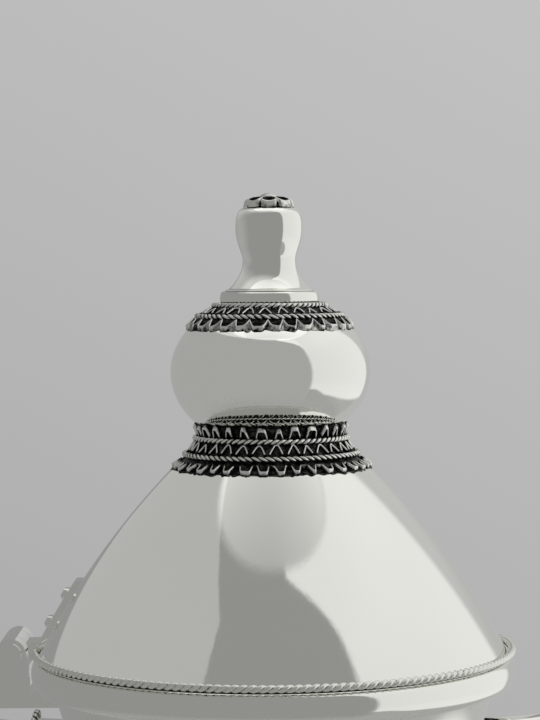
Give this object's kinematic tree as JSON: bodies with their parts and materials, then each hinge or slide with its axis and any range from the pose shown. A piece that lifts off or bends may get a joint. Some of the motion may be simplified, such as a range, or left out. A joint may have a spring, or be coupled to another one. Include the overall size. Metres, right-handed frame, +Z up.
{
  "type": "dallah coffee pot",
  "caption": "Footed silver coffee pot with a pear-shaped body, beak spout, loop handle and a hinged domed lid topped by a ball and knob finial between filigree collars.",
  "frame": {"origin": "centre of the foot's flat resting face", "axes": "+Z up, +X towards the spout, handle and hinge at -X"},
  "size_m": [0.2451, 0.14, 0.2925],
  "materials": {
    "polished_silver": "polished",
    "silver_wire": "gloss",
    "oxidised_silver": "satin"
  },
  "bodies": {
    "pot": {"foot_ring": "polished_silver", "foot_rope": "silver_wire", "foot_scallops": "silver_wire", "base_plate": "polished_silver", "body_bowl": "polished_silver", "body_shoulder": "polished_silver", "body_throat": "polished_silver", "body_neck": "polished_silver", "mouth_rim": "polished_silver", "waist_sleeve": "oxidised_silver", "waist_rope_upper": "silver_wire", "waist_rope_lower": "silver_wire", "waist_zigzag": "silver_wire", "waist_points": "silver_wire", "waist_scallops": "silver_wire", "spout_shell": "polished_silver", "spout_rope": "silver_wire", "handle_grip": "polished_silver", "handle_upper_socket": "polished_silver", "handle_lower_socket": "polished_silver", "handle_upper_rope": "silver_wire", "handle_lower_rope": "silver_wire", "handle_pins": "polished_silver", "hinge_bracket": "polished_silver", "hinge_pin": "polished_silver"},
    "lid": {"lid_dome": "polished_silver", "lid_bezel": "polished_silver", "lid_edge_rope": "silver_wire", "lid_hinge_strap": "polished_silver", "lid_rivets": "polished_silver", "lower_collar_backing": "oxidised_silver", "lower_collar_rope_upper": "silver_wire", "lower_collar_rope_lower": "silver_wire", "lower_collar_zigzag": "silver_wire", "lower_collar_scallops": "silver_wire", "calyx_ring": "oxidised_silver", "ball_calyx": "silver_wire", "ball_lower_half": "polished_silver", "ball_upper_half": "polished_silver", "upper_collar_backing": "oxidised_silver", "upper_collar_rope_upper": "silver_wire", "upper_collar_rope_lower": "silver_wire", "upper_collar_zigzag": "silver_wire", "upper_collar_scallops": "silver_wire", "finial_disc": "polished_silver", "finial_knob": "polished_silver", "rosette_seat": "oxidised_silver", "rosette_petals": "silver_wire", "rosette_bead": "silver_wire", "finial_stud": "polished_silver", "finial_washer": "polished_silver", "finial_nut": "polished_silver"}
  },
  "joints": [
    {"name": "lid_hinge", "type": "hinge", "parent": "pot", "child": "lid", "pos_m": [-0.0519, 0, 0.2017], "axis": [0, -1, 0], "range_deg": [0, 105]}
  ]
}
